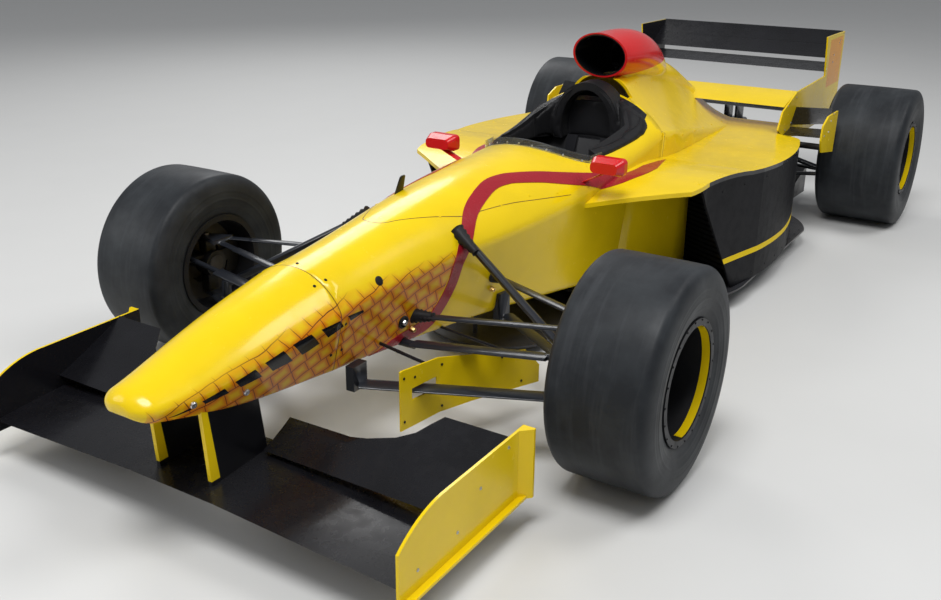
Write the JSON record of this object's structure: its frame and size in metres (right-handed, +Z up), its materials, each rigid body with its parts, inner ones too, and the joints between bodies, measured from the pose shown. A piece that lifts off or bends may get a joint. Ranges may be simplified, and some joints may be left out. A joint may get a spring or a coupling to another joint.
{
  "type": "open wheel racing car",
  "caption": "Single seat open wheel racing car with low nose, wings, sidepods, airbox and slick tyres; wheels roll and the steering turns.",
  "frame": {"origin": "on the ground, on the centre plane, midway between the nose tip and the rear wing", "axes": "+X to the car's left, +Y to the rear, +Z up"},
  "size_m": [2, 4.47, 1.013],
  "materials": {
    "yellow_paint": "gloss",
    "red_paint": "gloss",
    "black_paint": "gloss",
    "dark_composite": "satin",
    "tyre_rubber": "matt",
    "rim_metal": "satin",
    "machined_metal": "satin",
    "steel": "satin",
    "padding": "matt",
    "seat_cloth": "matt",
    "clear_plastic": "gloss",
    "core": "matt",
    "plank_wood": "matt",
    "light_red": "gloss"
  },
  "bodies": {
    "car": {"monocoque": "yellow_paint", "nose_cone": "yellow_paint", "nose_pylons": "black_paint", "front_wing": "black_paint", "front_endplates": "yellow_paint", "bargeboards": "yellow_paint", "engine_cover": "yellow_paint", "airbox": "red_paint", "mid_beam": "yellow_paint", "sidepod_decks": "yellow_paint", "sidepod_flanks": "black_paint", "radiators": "core", "floor": "dark_composite", "plank": "plank_wood", "diffuser": "dark_composite", "engine_block": "machined_metal", "gearbox": "machined_metal", "rain_light": "light_red", "rear_wing": "black_paint", "rear_endplates": "yellow_paint", "front_wishbones": "black_paint", "rear_wishbones": "black_paint", "rear_uprights": "machined_metal", "rack_housing": "machined_metal", "cockpit_padding": "padding", "seat": "seat_cloth", "dash": "dark_composite", "windscreen": "clear_plastic", "mirrors": "red_paint"},
    "steering_wheel": {"steering_wheel": "dark_composite"},
    "rack": {"steering_rack": "black_paint"},
    "knuckle_left": {"knuckle_left": "machined_metal"},
    "knuckle_right": {"knuckle_right": "machined_metal"},
    "wheel_front_left": {"hub_front_left": "steel", "rim_front_left": "rim_metal", "tyre_front_left": "tyre_rubber"},
    "wheel_front_right": {"hub_front_right": "steel", "rim_front_right": "rim_metal", "tyre_front_right": "tyre_rubber"},
    "wheel_rear_left": {"hub_rear_left": "steel", "rim_rear_left": "rim_metal", "tyre_rear_left": "tyre_rubber"},
    "wheel_rear_right": {"hub_rear_right": "steel", "rim_rear_right": "rim_metal", "tyre_rear_right": "tyre_rubber"}
  },
  "joints": [
    {"name": "steer_left", "type": "hinge", "parent": "car", "child": "knuckle_left", "pos_m": [0.78, -1.195, 0.3075], "axis": [0, 0, 1], "range_deg": [-16, 16]},
    {"name": "steer_right", "type": "hinge", "parent": "car", "child": "knuckle_right", "pos_m": [-0.78, -1.195, 0.3075], "axis": [0, 0, 1], "range_deg": [-16, 16]},
    {"name": "rack_slide", "type": "slide", "parent": "car", "child": "rack", "axis": [1, 0, 0], "range_m": [-0.0295, 0.0295]},
    {"name": "steering_wheel_turn", "type": "hinge", "parent": "car", "child": "steering_wheel", "pos_m": [0, -0.135, 0.505], "axis": [0, 0.9659, 0.2588], "range_deg": [-192.5, 192.5]},
    {"name": "spin_front_left", "type": "hinge", "parent": "knuckle_left", "child": "wheel_front_left", "pos_m": [0.85, -1.195, 0.317], "axis": [1, 0, 0], "continuous": true},
    {"name": "spin_front_right", "type": "hinge", "parent": "knuckle_right", "child": "wheel_front_right", "pos_m": [-0.85, -1.195, 0.317], "axis": [1, 0, 0], "continuous": true},
    {"name": "spin_rear_left", "type": "hinge", "parent": "car", "child": "wheel_rear_left", "pos_m": [0.81, 1.755, 0.33], "axis": [1, 0, 0], "continuous": true},
    {"name": "spin_rear_right", "type": "hinge", "parent": "car", "child": "wheel_rear_right", "pos_m": [-0.81, 1.755, 0.33], "axis": [1, 0, 0], "continuous": true}
  ],
  "couplings": [
    {"joint": "steer_right", "follows": "steer_left", "ratio": 1},
    {"joint": "rack_slide", "follows": "steer_left", "m_per_rad": 0.105},
    {"joint": "steering_wheel_turn", "follows": "steer_left", "ratio": 12}
  ]
}
